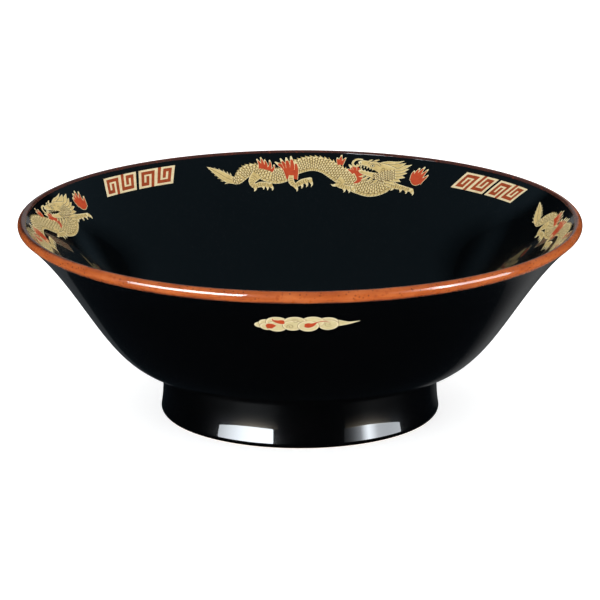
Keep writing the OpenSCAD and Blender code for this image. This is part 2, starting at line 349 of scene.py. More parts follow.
def band_thin_and_shade(n, where):
    """Where the band turns brown: at its lower edge, where it runs thin, and at its inner edge, where the
    brown is partly thin glaze and partly painted shade. Both reach further out on the left side of the
    bowl.
    """
    split = n.add("SeparateXYZ", {"Vector": where})
    x, y, z = (split.outputs[i] for i in range(3))
    radius = n.math("SQRT", n.math("ADD", n.math("MULTIPLY", x, x), n.math("MULTIPLY", y, y)))
    wander = n.math("MULTIPLY", n.math("SUBTRACT", n.noise(where, 160.0), 0.5), 0.0012)
    # The brown reaches further out on the left side of the bowl
    wander = n.math("SUBTRACT", wander, n.between(x, -0.07, -0.1, 0.0, 0.0009))
    # Brown at the inner edge of the lip: partly thin glaze, partly painted shade
    inside = n.between(n.math("ADD", radius, wander), THIN_AND_SHADE_FROM_R + 0.0006, THIN_AND_SHADE_FROM_R - 0.0004)
    fading = n.between(n.math("ADD", z, wander), THIN_FROM_H + 0.0005, THIN_FROM_H - 0.0003)
    return n.math("MAXIMUM", inside, n.math("MULTIPLY", fading, 0.8))


def band_material():
    """Orange iron glaze: streaked, mottled, speckled, and browner where it runs thin and at its inner
    edge, where the brown is partly painted shade.
    """
    material = bpy.data.materials.new("band_glaze")
    n = Nodes(material)
    where = place_of(n)
    stretched = n.add("VectorMath", {0: where, 1: BAND_STREAKS}, operation="MULTIPLY").outputs[0]
    orange = n.ramp(n.noise(stretched, 1.0, 4.0), *BAND_ORANGE)
    glaze = n.blend(band_thin_and_shade(n, where), orange, BAND_THIN_AND_SHADE)
    mottle = n.between(n.noise(where, 700.0, 2.0), 0.58, 0.72, 0.0, 0.55)
    specks = n.between(n.spots(where, 640.0), 0.20, 0.12, 0.0, 0.9)
    pits = n.between(n.spots(where, 480.0), 0.02, 0.2)
    wave = n.noise(where, 140.0, 2.0)
    normal = n.bump(n.math("ADD", n.math("MULTIPLY", wave, 0.5), pits), 0.35, 0.0001)
    n.surface(
        Base_Color=n.blend(specks, n.blend(mottle, glaze, BAND_MOTTLE), BAND_SPECK),
        Roughness=n.between(n.noise(where, 300.0), 0.3, 0.7, 0.24, 0.34),
        IOR=1.16,
        Normal=normal,
        Coat_Weight=1.0,
        Coat_Roughness=0.04,
        Coat_IOR=1.52,
        Coat_Normal=normal,
    )
    return material


def print_material(name, colour, shade, metallic=0.0):
    """Fired-on colour: uneven ink, fine grain and a satin face."""
    material = bpy.data.materials.new(name)
    n = Nodes(material)
    where = place_of(n)
    ink = n.noise(where, 420.0, 4.0, 0.65)
    bright = [min(1.0, c * 1.12) for c in colour]
    grain = 900.0
    n.surface(
        Base_Color=n.ramp(ink, (0.3, shade), (0.52, colour), (0.8, bright)),
        Metallic=metallic,
        Roughness=n.between(n.noise(where, grain), 0.3, 0.7, 0.28, 0.5),
        Specular_IOR_Level=0.22,
        Normal=n.bump(n.noise(where, grain * 2, 2.0), 0.15, 0.00003),
    )
    return material


def clay_material():
    """Bare stoneware: sandy, speckled with iron, dry."""
    material = bpy.data.materials.new("bare_clay")
    n = Nodes(material)
    where = place_of(n)
    sand = n.noise(where, 900.0, 5.0, 0.7)
    tone = n.ramp(n.noise(where, 60.0, 3.0), (0.3, (0.42, 0.31, 0.20)), (0.7, (0.58, 0.46, 0.32)))
    iron = n.between(n.spots(where, 520.0), 0.16, 0.08)
    n.surface(
        Base_Color=n.blend(iron, tone, (0.12, 0.06, 0.03)),
        Roughness=n.between(sand, 0.3, 0.7, 0.8, 0.95),
        Normal=n.bump(sand, 0.6, 0.0001),
    )
    return material


def floor_material():
    material = bpy.data.materials.new("studio_floor")
    n = Nodes(material)
    tone = n.noise(n.add("TexCoord").outputs["Object"], 3.0)
    pale = n.ramp(tone, (0.3, (0.90, 0.90, 0.90)), (0.7, (0.92, 0.92, 0.92)))
    n.surface(Base_Color=pale, Roughness=0.9, Emission_Color=(1, 1, 1, 1), Emission_Strength=0.6)
    return material


BLACK_INSIDE = glaze_material("black_inside", (0.0005, 0.0009, 0.0012), (0.012, 0.013, 0.014))
BLACK_OUTSIDE = glaze_material("black_outside", (0.0005, 0.0005, 0.0006), (0.007, 0.006, 0.006))
BAND = band_material()
GOLD = print_material("gold_print", (0.78, 0.60, 0.25), (0.64, 0.46, 0.16), 0.1)
PALE = print_material("pale_print", (0.90, 0.77, 0.43), (0.78, 0.63, 0.30))
LINES = print_material("line_print", (0.20, 0.115, 0.032), (0.13, 0.075, 0.022))
RED = print_material("red_print", (0.60, 0.068, 0.012), (0.50, 0.046, 0.009))
CREAM = print_material("cream_print", (0.86, 0.72, 0.44), (0.78, 0.60, 0.33))
FRET_RED = print_material("fret_print", (0.40, 0.058, 0.005), (0.30, 0.038, 0.003))
# The cloud's cream and pale edge are darker copies of the cream and pale prints: painted shade on the
# outside of the bowl
CLOUD_SHADED_CREAM = print_material("cloud_shaded_print", (0.54, 0.46, 0.24), (0.49, 0.40, 0.19))
CLOUD_SHADED_EDGE = print_material("cloud_edge_shaded_print", (0.68, 0.59, 0.37), (0.62, 0.53, 0.31))
CLOUD_RED = print_material("cloud_red_print", (0.42, 0.046, 0.004), (0.34, 0.032, 0.003))
CLAY = clay_material()

# ---- Clay and glaze

for node in ("bowl_body", "foot_ring"):
    mesh = frame["nodes"][node].data
    mesh.materials.clear()
    mesh.materials.append(CLAY)

# How far the black glaze runs on under the band
TUCK = 0.8

for name, run, material, slot, node in (
    ("inside_glaze", inside_run(BAND_IN - TUCK), BLACK_INSIDE, "glaze_inner", "glaze_inside"),
    ("outside_glaze", outside_run(BAND_OUT - TUCK), BLACK_OUTSIDE, "glaze_outer", "glaze_outside"),
    ("recess_glaze", recess_run(), BLACK_OUTSIDE, "glaze_outer", "glaze_recess"),
):
    lathe(name, coat(run), material, slot, [node])


def ripple(angle, waves, seed):
    """A hand-brushed unevenness round the bowl, between about -1 and 1."""
    total = sum(math.sin(w * angle + seed * (k + 1) * 1.7) / (k + 1) for k, w in enumerate(waves))
    return total / sum(1 / (k + 1) for k in range(len(waves)))


def band_outline(angle):
    """The band's outline at one angle: proud of the black glaze, with brushed edges."""
    proud, tucked, depth, edge_steps = 0.09, 0.02, 0.25, 5
    low = BAND_OUT + 0.22 * ripple(angle, (7, 19, 43, 83), 1.0)
    top = BAND_IN + 0.16 * ripple(angle, (5, 17, 37, 71), 2.3)
    run = [outer(t) for t in np.linspace(wall_at(low), 1, 12)]
    run += arc_run(LIP_MID, LIP_R, LIP_SLOPE - math.pi / 2, LIP_SLOPE + math.pi / 2, 40, True)[1:]
    run += [inner(t) for t in np.linspace(1, wall_at(top), 6)[1:]]
    outline, count = [], len(run)
    for k, (point, into) in enumerate(run):
        from_edge = min(k, count - 1 - k)
        rise = math.sin(min(1.0, from_edge / edge_steps) * math.pi / 2)
        outline.append(point - proud * rise * into + tucked * (1 - rise) * into)
    return outline + [point + depth * into for point, into in reversed(run)]


lathe(
    "lip_band",
    [band_outline(i * 2 * math.pi / SEGMENTS) for i in range(SEGMENTS)],
    BAND, "band", ["rim_band"], sharp=math.radians(60),
)

# ---- Drawings. Points are [across, down] in millimetres: across is measured round the bowl
# and down along the wall from the edge of the band. A stroke's third number is its half width.

# The least half width of a stroke, and the pieces that the curve between two of its points is cut into
HAIR = 0.03
CURVE_STEPS = 8
# Long straight edges are cut to this length, so that they bend with the wall
EDGE_STEP = 1.2
# The spacing of the points strewn between the shapes, for the same reason
FILL_STEP = 1.8

def knot(p, i):
    return p[max(0, min(len(p) - 1, i))]


def along(p, u):
    """A place on the smooth curve through some points."""
    i = max(0, min(int(u), len(p) - 2))
    f = u - i
    a, b, c, d = (knot(p, i + k) for k in (-1, 0, 1, 2))
    curve = 2 * b + (c - a) * f + (2 * a - 5 * b + 4 * c - d) * f**2 + (3 * b - a - 3 * c + d) * f**3
    return 0.5 * curve


class Stroke:
    """A brush stroke: places on it are given by distance along it and share of its half width."""

    def __init__(self, points):
        points = np.array(points, dtype=float)
        last = len(points) - 1
        spots = np.array([along(points, u) for u in np.linspace(0, last, last * CURVE_STEPS + 1)])
        self.spine, self.half = spots[:, :2], spots[:, 2]
        way = np.gradient(self.spine, axis=0)
        way /= np.hypot(*way.T)[:, None]
        self.way = way
        self.side = np.stack([-way[:, 1], way[:, 0]], axis=1)
        self.at = np.concatenate([[0], np.cumsum(np.hypot(*np.diff(self.spine, axis=0).T))])
        self.length = self.at[-1]

    def look(self, values, s):
        if values.ndim == 1:
            return np.interp(s, self.at, values)
        return np.stack([np.interp(s, self.at, column) for column in values.T], axis=-1)

    def width(self, s):
        return self.look(self.half, s)

    def place(self, s, share, grow=0.0):
        return self.look(self.spine, s) + (share * self.width(s) + grow) * self.look(self.side, s)

    def strip(self, grow=0.0, start=0.0, end=None, step=1.0):
        """The stroke, or a stretch of it, as triangles. It may grow or shrink, down to a hair."""
        end = self.length if end is None else end
        marks = np.linspace(start, end, max(2, int((end - start) / step) + 2))
        half = np.maximum(self.width(marks) + grow, HAIR)[:, None]
        spine, side = self.look(self.spine, marks), self.look(self.side, marks)
        return ribbon(spine + half * side, spine - half * side)


def ribbon(left, right):
    """The triangles between two edges. Unlike quads, they can't cross themselves."""
    triangles = []
    for k in range(len(left) - 1):
        triangles.append((left[k], left[k + 1], right[k]))
        triangles.append((left[k + 1], right[k + 1], right[k]))
    return triangles


def disc(mid, radius, sides=24, squash=1.0):
    return [np.array(mid) + radius * ray(2 * math.pi * k / sides) * [1, squash] for k in range(sides)]


def thin_line(points, width):
    """A line of even width through a few points."""
    points = [np.array(p, dtype=float) for p in points]
    last = len(points) - 1
    ways = [unit(points[min(k + 1, last)] - points[max(k - 1, 0)]) for k in range(last + 1)]
    left = [p + width / 2 * left_of(w) for p, w in zip(points, ways)]
    right = [p - width / 2 * left_of(w) for p, w in zip(points, ways)]
    return ribbon(left, right)


def within(outline, spots):
    """Which spots lie inside an outline."""
    x, y = spots.T
    odd = np.zeros(len(spots), dtype=bool)
    for (ax, ay), (bx, by) in zip(outline, np.roll(outline, -1, axis=0)):
        turned = (bx - ax) * (y - ay) - (by - ay) * (x - ax)
        odd ^= ((ay > y) != (by > y)) & ((turned > 0) == (by > ay))
    return odd


def finely(outline):
    """The outline with its long edges cut up."""
    fine, outline = [], np.array(outline)
    for a, b in zip(outline, np.roll(outline, -1, axis=0)):
        steps = math.ceil(np.hypot(*(b - a)) / EDGE_STEP)
        fine += [a + (b - a) * k / steps for k in range(steps)]
    return fine


class Drawing:
    """Shapes painted one over another. Where they overlap, the last one is seen.

    A colour that is given no material, such as void, leaves the glaze bare.
    """

    def __init__(self):
        self.paints, self.shapes = [], []

    def paint(self, colour, *shapes, over=None):
        """Paints shapes, or only the part of them that lies over some colours."""
        self.paints.append((colour, over))
        for shape in shapes:
            shape = np.array(shape, dtype=float)
            x, y = shape.T
            area = np.sum(x * np.roll(y, -1) - y * np.roll(x, -1))
            if abs(area) > 1e-4:
                self.shapes.append((len(self.paints) - 1, shape if area > 0 else shape[::-1]))

    def films(self):
        """The points of the whole drawing and, for each colour, its triangles."""
        verts, faces = [], []
        for paint, shape in self.shapes:
            faces.append(list(range(len(verts), len(verts) + len(shape))))
            verts.extend(Vector(p) for p in shape)
        low = np.min([np.min(s, axis=0) for i, s in self.shapes], axis=0)
        high = np.max([np.max(s, axis=0) for i, s in self.shapes], axis=0)
        for x in np.arange(low[0], high[0], FILL_STEP):
            verts.extend(Vector((x, y)) for y in np.arange(low[1] + 0.37, high[1], FILL_STEP))
        mesh = delaunay_2d_cdt(verts, [], faces, 0, 1e-4)
        points = np.array([tuple(p) for p in mesh[0]])
        triangles = np.array([tuple(t) for t in mesh[2]])
        mids = points[triangles].mean(axis=1)
        order = np.argsort(mids[:, 0])
        triangles, mids = triangles[order], mids[order]
        seen = np.full(len(triangles), "", dtype="U8")
        for paint, shape in self.shapes:
            colour, over = self.paints[paint]
            first, last = np.searchsorted(mids[:, 0], (shape[:, 0].min(), shape[:, 0].max()))
            part = seen[first:last]
            covered = within(shape, mids[first:last])
            if over is not None:
                covered &= np.isin(part, over)
            part[covered] = colour
        return points, {c: [tuple(t) for t in triangles[seen == c]] for c in sorted(set(seen)) if c}


class Wall:
    """Lays a drawing on one face of the wall."""

    def __init__(self, run, middle, outside=False):
        self.down = reaches(run)
        self.points = np.array([p for p, into in run])
        self.into = np.array([into for p, into in run])
        self.middle_r = np.interp(middle, self.down, self.points[:, 0])
        self.hand = -1 if outside else 1

    def lay(self, drawn, depth, turn):
        """Places for drawn points, at a depth into the wall, turned clockwise from the back."""
        r, z, nr, nz = (
            np.interp(drawn[:, 1], self.down, column)
            for column in (*self.points.T, *self.into.T)
        )
        angle = self.hand * drawn[:, 0] / self.middle_r + turn
        radius = r + depth * nr
        return np.stack([radius * np.sin(angle), radius * np.cos(angle), z + depth * nz], axis=1) * MM


def parted(triangles):
    """Gives each fan of triangles at a point its own copy of it, so that no two fans touch there."""
    parent = list(range(3 * len(triangles)))

    def root(i):
        while parent[i] != i:
            parent[i] = parent[parent[i]]
            i = parent[i]
        return i

    across = {}
    for t, triangle in enumerate(triangles):
        for k in range(3):
            a, b = triangle[k], triangle[(k + 1) % 3]
            corners = {a: 3 * t + k, b: 3 * t + (k + 1) % 3}
            other = across.setdefault((min(a, b), max(a, b)), corners)
            if other is not corners:
                parent[root(corners[a])] = root(other[a])
                parent[root(corners[b])] = root(other[b])
    label, source, faces = {}, [], []
    for t, triangle in enumerate(triangles):
        face = []
        for k in range(3):
            key = root(3 * t + k)
            if key not in label:
                label[key] = len(source)
                source.append(triangle[k])
            face.append(label[key])
        faces.append(tuple(face))
    return source, faces


def nudged(points, source, faces):
    """Draws a hair back the corners where two fans meet, so that their edges don't coincide."""
    corners = points[source]
    shared = np.bincount(source, minlength=len(points))[source] > 1
    pull, count = np.zeros_like(corners), np.zeros((len(corners), 1))
    for face in faces:
        middle = corners[list(face)].mean(axis=0)
        for i in face:
            pull[i] += middle - corners[i]
            count[i] += 1
    return corners + np.where(shared[:, None], 0.02 * pull / count, 0.0)


def print_film(name, points, triangles, wall, turn, material, slot, replaced):
    """A closed film of one colour, a little proud of the glaze."""
    proud, sunk = -0.05, 0.04
    source, faces = parted(triangles)
    drawn = nudged(points, source, faces)
    count = len(drawn)
    verts = np.concatenate([wall.lay(drawn, proud, turn), wall.lay(drawn, sunk, turn)])
    ways = {(f[k], f[(k + 1) % 3]) for f in faces for k in range(3)}
    rims = [(a, b) for a, b in ways if (b, a) not in ways]
    solid = list(faces)
    solid += [(c + count, b + count, a + count) for a, b, c in faces]
    solid += [(b, a, a + count, b + count) for a, b in sorted(rims)]
    a, b, c = (verts[i] for i in faces[0])
    if np.dot(np.cross(b - a, c - a), verts[faces[0][0]] - verts[faces[0][0] + count]) < 0:
        solid = [f[::-1] for f in solid]
    return new_piece(name, verts, solid, material, slot, replaced)


def print_all(motif, drawing, wall, turns, looks):
    """Prints a drawing at each turn. Looks give each colour's material, slot and node."""
    points, films = drawing.films()
    for number, turn in enumerate(turns, 1):
        for colour, (material, slot, node) in looks.items():
            if colour in films:
                name = f"{motif}_{number}_{colour}_film"
                replaced = [f"{motif}_{number}_{node}"] if node else []
                print_film(name, points, films[colour], wall, turn, material, slot, replaced)


INSIDE_WALL = inside_run(BAND_IN)
OUTSIDE_WALL = outside_run(BAND_OUT)
QUARTER = math.pi / 2

# ---- Fret panels

PANEL_W = 16.0
PANEL_H = 7.8
PANEL_SLANT = 3.8
PANEL_GAP = 1.3
PANEL_DOWN = 2.2
PANEL_SIDE = 1.2
PANEL_TOP = 0.85
FRET_LINE = 1.38


def fret_panel(side):
    """One panel of a pair, on the left (-1) or the right (1)."""
    drawing = Drawing()

    def on_panel(x, y):
        across = side * (PANEL_W + PANEL_GAP) / 2 + x - PANEL_SLANT * y / PANEL_H
        return [across, PANEL_DOWN + PANEL_H / 2 + y]

    corners = ((-1, -1), (1, -1), (1, 1), (-1, 1))
    drawing.paint("cream", finely([on_panel(x * PANEL_W / 2, y * PANEL_H / 2) for x, y in corners]))
    outer_x = PANEL_W / 2 - PANEL_SIDE - FRET_LINE / 2
    inner_x = FRET_LINE
    middle_x = (outer_x + inner_x) / 2
    top = PANEL_H / 2 - PANEL_TOP - FRET_LINE / 2
    spiral = np.array([
        (-inner_x, (PANEL_H - FRET_LINE) / 2), (-inner_x, -top), (-outer_x, -top),
        (-outer_x, top), (-middle_x, top), (-middle_x, -top / 8),
    ])
    for half_turn in (1, -1):
        path = half_turn * spiral
        for a, b in zip(path, path[1:]):
            way = FRET_LINE / 2 * unit(b - a)
            edge = left_of(way)
            bar = (a - way + edge, b + way + edge, b + way - edge, a - way - edge)
            drawing.paint("red", finely([on_panel(*p) for p in bar]), over=("cream", "red"))
    return drawing


DRAGON_TURN = math.radians(4.5)
FRET_TURN = math.radians(45)
dragon_wall = Wall(INSIDE_WALL, 10)
for first, side in ((1, -1), (2, 1)):
    points, films = fret_panel(side).films()
    for i in range(4):
        number = first + 2 * i
        turn = DRAGON_TURN + FRET_TURN + QUARTER * i
        for colour, material, slot in (("cream", CREAM, "print_cream"), ("red", FRET_RED, "fret_red")):
            print_film(
                f"fret_{number}_{colour}_film", points, films[colour], dragon_wall, turn,
                material, slot, [f"fret_{number}_{colour}"],
            )

# ---- Clouds

# Lobes overlap from first to last, and are wider than they are tall
CLOUD_LOBES = [
    (-14.3, 14.2, 1.6), (-12.0, 12.9, 2.1), (-11.8, 15.0, 2.1), (9.6, 12.6, 3.2), (10.2, 14.1, 2.9),
    (-8.1, 12.3, 3.2), (-8.3, 14.9, 3.0), (4.4, 12.2, 3.4), (-1.8, 12.2, 3.3), (-2.6, 14.3, 2.9),
    (3.0, 14.6, 3.1),
]
LOBE_SPREAD = 1.22
CLOUD_TAIL = [(9.0, 12.8, 3.2), (14.4, 13.2, 1.6), (17.4, 13.3, 0.7), (21.2, 12.4, 0.1)]
CLOUD_SWIRLS = [
    [(-5.4, 12.2, 0.9), (-6.4, 12.2, 1.3), (-8.0, 12.0, 0.9), (-9.4, 11.2, 0.4), (-9.6, 10.2, 0.1)],
    [(-12.0, 15.4, 0.9), (-10.8, 14.8, 1.6), (-9.6, 14.5, 1.1), (-8.6, 14.4, 0.3)],
    [(1.6, 14.2, 1.0), (3.0, 14.2, 1.5), (4.4, 13.8, 1.0), (6.0, 12.4, 0.3), (8.4, 11.7, 0.25),
     (10.4, 12.4, 0.1)],
]
# Each curl's middle, radius and heading at its start
CLOUD_CURLS = [((10.0, 13.6), 1.5, 0.6), ((-3.4, 14.9), 1.4, 2.6), ((-1.6, 11.6), 1.3, 3.6)]
CURL_TURNS = 1.3
ON_CREAM = ("cream", "pale")
# Each lobe is painted three times: its colour, how much wider it is, and what it is painted over
LOBE_LAYERS = [("lines", 0.17, ON_CREAM), ("pale", 0, None), ("cream", -0.4, None)]


def curl(mid, radius, start):
    """Points on a small spiral that runs in towards its middle."""
    steps = 14
    return [
        np.array(mid) + radius * (1 - 0.8 * k / steps) * ray(start + CURL_TURNS * 2 * math.pi * k / steps)
        for k in range(steps + 1)
    ]


def cloud():
    """A bank of cloud with a tail, curls and red swirls."""
    drawing = Drawing()
    tail = Stroke(CLOUD_TAIL)
    drawing.paint("pale", *tail.strip())
    drawing.paint("cream", *tail.strip(grow=-0.3, end=tail.length * 0.7))
    for x, y, r in CLOUD_LOBES:
        for colour, grow, over in LOBE_LAYERS:
            across = (r + grow) * LOBE_SPREAD
            drawing.paint(colour, disc((x, y), across, 30, (r + grow) / across), over=over)
    for place in CLOUD_CURLS:
        drawing.paint("lines", *thin_line(curl(*place), 0.2), over=ON_CREAM)
    for swirl in CLOUD_SWIRLS:
        drawing.paint("pale", *Stroke(swirl).strip(grow=0.25), over=("cream", "lines"))
        drawing.paint("red", *Stroke(swirl).strip(step=0.5))
    return drawing


# The cloud's cream and pale edge use their darker copies, which carry painted shade
cloud_looks = {
    "cream": (CLOUD_SHADED_CREAM, "print_cream", "cream"),
    "pale": (CLOUD_SHADED_EDGE, "print_cream", None),
    "lines": (LINES, "gold", None),
    "red": (CLOUD_RED, "print_red", "red"),
}
print_all(
    "cloud", cloud(), Wall(OUTSIDE_WALL, 13, outside=True),
    [math.pi + QUARTER * i for i in range(4)], cloud_looks,
)

# ---- Dragons

BODY = [
    (-34.8, 11.8, 1.3), (-32.4, 11.6, 1.8), (-29.0, 8.4, 2.5), (-25.4, 7.4, 2.6), (-20.8, 9.8, 3.0),
    (-16.8, 10.8, 3.2), (-12.6, 9.6, 3.1), (-8.8, 6.8, 3.1), (-3.0, 5.1, 3.2), (2.0, 6.0, 3.3),
    (6.2, 8.6, 3.4), (10.6, 11.4, 3.5), (15.8, 13.8, 3.6), (22.0, 15.0, 3.6), (27.2, 12.8, 3.5),
    (28.0, 8.6, 3.4),
]
TAIL = [(-33.4, 12.0, 1.3), (-36.5, 10.6, 1.9), (-39.9, 7.7, 1.5), (-43.6, 4.7, 0.06)]
# Each leg from the hip to the end of the paw, with its claws: share along the leg, heading and length
LEGS = [
    ([(-24.4, 9.6, 2.2), (-26.8, 12.4, 1.5), (-26.2, 14.6, 1.0), (-23.2, 14.0, 1.1), (-19.6, 14.2, 0.8)],
     [(0.52, 100, 1.7), (0.74, 70, 1.7), (0.88, 75, 1.9), (0.99, 60, 2.2)]),
    ([(-10.9, 10.4, 0.9), (-11.0, 13.0, 1.2), (-9.4, 14.8, 0.9), (-6.6, 13.2, 1.1), (-3.4, 12.2, 0.9)],
     [(0.42, 60, 2.2), (0.66, 70, 2.0), (0.84, 70, 2.2), (0.99, 65, 2.6)]),
    ([(9.8, 11.8, 2.0), (8.2, 13.8, 1.4), (10.6, 15.0, 1.0), (14.2, 15.2, 0.8)],
     [(0.32, 165, 2.6), (0.6, 75, 1.7), (0.8, 65, 1.7), (0.99, 50, 1.8)]),
    ([(28.2, 11.4, 2.0), (31.6, 12.9, 1.3), (35.4, 13.4, 0.9), (39.4, 14.0, 0.8)],
     [(0.3, 105, 1.8), (0.56, 75, 1.5), (0.78, 70, 1.5), (0.99, 50, 1.7)]),
]
# Tongues of fire: on the back, behind a hind leg, on the back again, and behind the jaw
BACK_FIRE = [
    [(-22.6, 7.0, 0.9), (-22.9, 4.8, 0.5), (-23.8, 2.6, 0.06)],
    [(-21.8, 7.2, 0.9), (-21.8, 4.2, 0.5), (-22.3, 1.8, 0.06)],
    [(-20.8, 7.6, 0.9), (-20.5, 5.2, 0.5), (-20.9, 2.9, 0.06)],
    [(-19.8, 8.0, 0.9), (-18.9, 5.8, 0.5), (-19.0, 3.2, 0.06)],
    [(-18.9, 8.4, 0.8), (-17.7, 7.2, 0.4), (-17.4, 5.4, 0.06)],
]
HIP_FIRE = [
    [(-11.2, 11.4, 1.8), (-13.2, 7.4, 1.0), (-15.2, 5.6, 0.6), (-17.0, 4.2, 0.06)],
    [(-11.2, 11.4, 1.8), (-12.8, 7.0, 0.9), (-14.0, 4.6, 0.5), (-14.9, 2.6, 0.06)],
    [(-10.8, 11.6, 1.8), (-11.9, 6.8, 0.9), (-12.4, 4.0, 0.5), (-12.7, 2.2, 0.06)],
    [(-10.4, 11.8, 1.6), (-10.4, 7.0, 0.9), (-10.6, 4.0, 0.55), (-10.9, 1.6, 0.06)],
    [(-9.8, 12.0, 1.3), (-8.9, 8.4, 0.8), (-9.0, 6.0, 0.5), (-9.3, 3.8, 0.06)],
]
SMALL_FIRE = [
    [(7.8, 5.2, 0.9), (7.0, 3.4, 0.5), (6.5, 2.0, 0.06)],
    [(7.9, 5.2, 0.9), (7.9, 3.0, 0.55), (8.1, 0.7, 0.06)],
    [(8.2, 5.2, 0.8), (9.0, 3.6, 0.5), (9.8, 1.9, 0.06)],
]
NECK_FIRE = [
    [(14.4, 13.2, 0.2), (16.2, 12.0, 0.9), (16.2, 9.8, 1.3), (14.4, 7.6, 1.2), (12.8, 6.4, 0.6),
     (11.3, 5.0, 0.06)],
    [(15.8, 9.8, 1.0), (13.9, 6.8, 0.7), (12.7, 4.4, 0.06)],
    [(16.2, 10.2, 1.0), (15.4, 7.0, 0.6), (14.4, 4.6, 0.06)],
    [(13.8, 8.6, 0.9), (12.2, 7.6, 0.5), (10.7, 7.2, 0.06)],
]
PEARL = (40.0, 9.2)
PEARL_R = 2.4
PEARL_FIRE = [
    [(38.2, 9.6, 1.0), (37.6, 7.2, 0.6), (37.8, 5.2, 0.06)],
    [(39.0, 9.0, 1.1), (38.9, 6.2, 0.65), (39.6, 3.8, 0.06)],
    [(40.0, 9.0, 1.2), (40.4, 5.8, 0.65), (41.5, 3.0, 0.06)],
    [(41.0, 9.4, 1.1), (41.8, 6.6, 0.6), (43.2, 3.9, 0.06)],
    [(41.4, 10.4, 1.0), (42.8, 8.4, 0.55), (44.2, 6.4, 0.06)],
]
MANE = [
    [(25.0, 4.6, 1.2), (30.4, 4.0, 1.1), (33.4, 2.4, 0.06)],
    [(26.0, 5.2, 1.2), (32.0, 4.8, 1.1), (35.9, 2.8, 0.06)],
    [(27.5, 6.4, 1.2), (32.4, 6.1, 1.1), (35.3, 4.9, 0.06)],
    [(28.0, 7.4, 1.2), (32.4, 7.4, 1.0), (35.1, 6.8, 0.06)],
    [(28.0, 8.6, 1.2), (32.2, 8.8, 1.0), (34.8, 8.9, 0.06)],
    [(27.6, 9.8, 1.2), (31.2, 10.2, 1.0), (33.6, 11.0, 0.06)],
    [(26.6, 10.8, 1.1), (29.8, 11.5, 0.9), (31.8, 12.9, 0.06)],
]
HORNS = [
    [(22.6, 4.2, 0.8), (26.2, 3.0, 0.7), (29.6, 2.6, 0.5), (32.4, 1.5, 0.06)],
    [(20.4, 3.6, 0.6), (21.4, 2.5, 0.4), (22.8, 1.9, 0.06)],
    [(18.6, 3.4, 0.5), (19.2, 2.6, 0.35), (20.2, 2.1, 0.06)],
]
SKULL = [
    (29.5, 8.0, 3.0), (25.6, 7.0, 3.2), (22.0, 5.2, 2.2), (18.8, 4.2, 1.3), (16.2, 3.8, 1.1),
    (15.0, 4.2, 0.7),
]
JAW = [(26.6, 9.4, 2.0), (22.8, 9.3, 1.4), (19.2, 8.7, 0.9), (16.6, 7.9, 0.8), (15.6, 7.3, 0.4)]
BEARD = [
    [(18.6, 9.0, 0.5), (17.2, 10.0, 0.35), (15.9, 10.2, 0.06)],
    [(20.0, 9.6, 0.6), (18.6, 10.9, 0.4), (17.0, 11.5, 0.06)],
    [(21.8, 10.0, 0.7), (20.4, 11.7, 0.45), (18.8, 12.5, 0.06)],
    [(23.8, 10.6, 0.7), (22.6, 12.4, 0.45), (21.0, 13.4, 0.06)],
]
WHISKER = [
    (15.6, 5.0, 0.4), (13.9, 5.7, 0.4), (12.7, 4.7, 0.42), (13.1, 3.1, 0.42), (14.7, 2.3, 0.4),
    (16.4, 2.5, 0.3),
]
MOUTH = [(23.4, 7.9, 0.15), (21.4, 7.3, 0.6), (19.0, 6.6, 0.85), (16.8, 6.0, 0.75), (15.2, 5.9, 0.3)]
# Each tooth's middle and its length
UPPER_TEETH = [(16.2, 5.1, 1.5), (17.5, 5.5, 0.9), (18.7, 5.8, 0.8), (19.9, 6.1, 0.7), (21.0, 6.5, 0.6)]
LOWER_TEETH = [(16.6, 7.2, 1.2), (18.0, 7.5, 0.7), (19.3, 7.9, 0.7), (20.6, 8.2, 0.6)]
TOOTH = 0.34
EYE = (20.6, 4.9)
NOSTRIL = (15.7, 4.1)
BROW = [(18.8, 4.2, 0.06), (20.2, 3.4, 0.45), (22.4, 3.7, 0.4), (23.8, 4.9, 0.06)]
CHEEK = [(21.5, 9.6, 0.8), (26.5, 9.0, 2.6), (30.5, 8.0, 2.4)]
EAR = ((25.2, 6.4), 1.1, 1.2)
SCALE = 1.35
CHEEK_SCALE = 1.0
SCALE_INK = 0.34
EDGE_INK = 0.2
INK = 0.17
# The colours that one stroke's ink may fall on, and those that fine lines may fall on
ANY_GOLD = ("gold", "pale", "lines")
PLAIN_GOLD = ("gold", "pale")


def edged(drawing, stroke, rim=0.28):
    """A gold stroke with a pale rim, and an ink line where it passes over other gold."""
    drawing.paint("lines", *stroke.strip(grow=EDGE_INK), over=ANY_GOLD)
    drawing.paint("pale", *stroke.strip())
    drawing.paint("gold", *stroke.strip(grow=-rim, end=stroke.length * 0.92))


def scales(drawing, body, start, end, low=-0.9, high=0.62, scale=SCALE):
    """Rows of small crescents, each row set half a scale further on, with bright spots between."""
    s, column = start, 0
    while s < end:
        rows = max(2, round(body.width(s) * (high - low) / scale))
        gap = (high - low) / rows
        size = gap * body.width(s)
        for row in range(rows):
            share = low + gap * (row + 0.25 + 0.5 * (column % 2))
            arc = [
                body.place(s - 0.45 * size * math.cos(a), share + gap * 0.38 * math.sin(a))
                for a in np.linspace(-1.3, 1.3, 5)
            ]
            drawing.paint("lines", *thin_line(arc, SCALE_INK), over=PLAIN_GOLD)
            drawing.paint("pale", disc(body.place(s + 0.12 * size, share), 0.36, 8), over=("gold",))
        s += 0.7 * size
        column += 1


